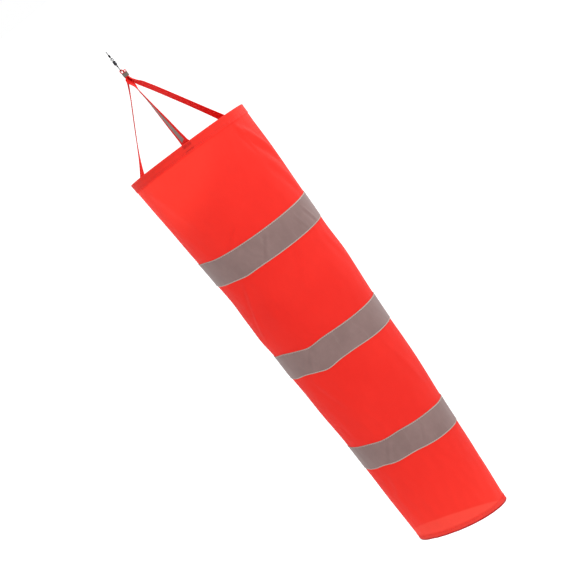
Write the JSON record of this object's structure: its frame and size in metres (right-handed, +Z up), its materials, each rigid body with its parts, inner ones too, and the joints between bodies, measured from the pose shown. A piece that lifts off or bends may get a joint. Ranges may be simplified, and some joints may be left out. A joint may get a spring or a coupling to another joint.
{
  "type": "windsock",
  "caption": "Tapered red fabric windsock with grey reflective bands and a hooped mouth, held by a strap bridle, a barrel swivel and a wire snap, shown hanging in still air.",
  "frame": {"origin": "hanging point: the inside top of the snap's bow, where it rests on whatever holds the windsock up", "axes": "+Z up along the hanging direction, -Y the side of the front bridle strap, +X to the right when the front strap is seen"},
  "size_m": [0.2333, 0.2336, 1.0312],
  "materials": {
    "red_cloth": "thin woven polyester, slight sheen, lets some light through",
    "red_webbing": "woven polyester webbing, matte",
    "red_thread": "polyester sewing thread",
    "reflective_tape": "grey retroreflective fabric tape, fine grain, satin",
    "hoop_wire": "spring steel wire",
    "black_nickel": "black nickel plate, polished"
  },
  "bodies": {
    "snap": {"snap_wire": "black_nickel", "snap_cover": "black_nickel"},
    "gate": {"snap_gate": "black_nickel"},
    "upper_eye": {"swivel_upper_eye": "black_nickel"},
    "barrel": {"swivel_barrel": "black_nickel"},
    "lower_eye": {"swivel_lower_eye": "black_nickel"},
    "sock_1": {"bridle_loop": "red_webbing", "loop_collar": "reflective_tape", "strap_front": "red_webbing", "stripe_front": "reflective_tape", "strap_tack_front": "red_thread", "strap_left": "red_webbing", "stripe_left": "reflective_tape", "strap_tack_left": "red_thread", "strap_right": "red_webbing", "stripe_right": "reflective_tape", "strap_tack_right": "red_thread", "mouth_hoop": "hoop_wire", "hoop_ferrule": "hoop_wire", "mouth_hem": "red_cloth", "sock_panel_1": "red_cloth", "side_seam_1": "red_cloth", "reflective_band_1": "reflective_tape"},
    "sock_2": {"sock_panel_2": "red_cloth", "side_seam_2": "red_cloth", "reflective_band_2": "reflective_tape"},
    "sock_3": {"sock_panel_3": "red_cloth", "side_seam_3": "red_cloth", "reflective_band_3": "reflective_tape"},
    "sock_4": {"sock_panel_4": "red_cloth", "side_seam_4": "red_cloth", "tail_hem": "red_cloth"}
  },
  "joints": [
    {"name": "gate_flex", "type": "hinge", "parent": "snap", "child": "gate", "pos_m": [0, -0.00325, -0.0026], "axis": [-1, 0, 0], "range_deg": [0, 25], "stiffness_Nm_per_rad": 0.05},
    {"name": "snap_swing", "type": "hinge", "parent": "snap", "child": "upper_eye", "pos_m": [0, 0, -0.0153], "axis": [0, 1, 0], "range_deg": [-80, 80]},
    {"name": "upper_spin", "type": "hinge", "parent": "upper_eye", "child": "barrel", "pos_m": [0, 0, -0.0234], "axis": [0, 0, 1], "continuous": true},
    {"name": "lower_spin", "type": "hinge", "parent": "barrel", "child": "lower_eye", "pos_m": [0, 0, -0.0234], "axis": [0, 0, 1], "continuous": true},
    {"name": "bridle_swing", "type": "hinge", "parent": "lower_eye", "child": "sock_1", "pos_m": [0, 0, -0.041], "axis": [0, 1, 0], "range_deg": [-60, 60]},
    {"name": "bend_1", "type": "hinge", "parent": "sock_1", "child": "sock_2", "pos_m": [-0.00047, 0, -0.41126], "axis": [0, 1, 0], "range_deg": [-20, 20], "deforming": ["reflective_band_1"]},
    {"name": "bend_2", "type": "hinge", "parent": "sock_2", "child": "sock_3", "pos_m": [-0.00862, 0, -0.61961], "axis": [0, 1, 0], "range_deg": [-20, 20], "deforming": ["reflective_band_2"]},
    {"name": "bend_3", "type": "hinge", "parent": "sock_3", "child": "sock_4", "pos_m": [-0.01671, 0, -0.82645], "axis": [0, 1, 0], "range_deg": [-20, 20], "deforming": ["reflective_band_3"]}
  ]
}
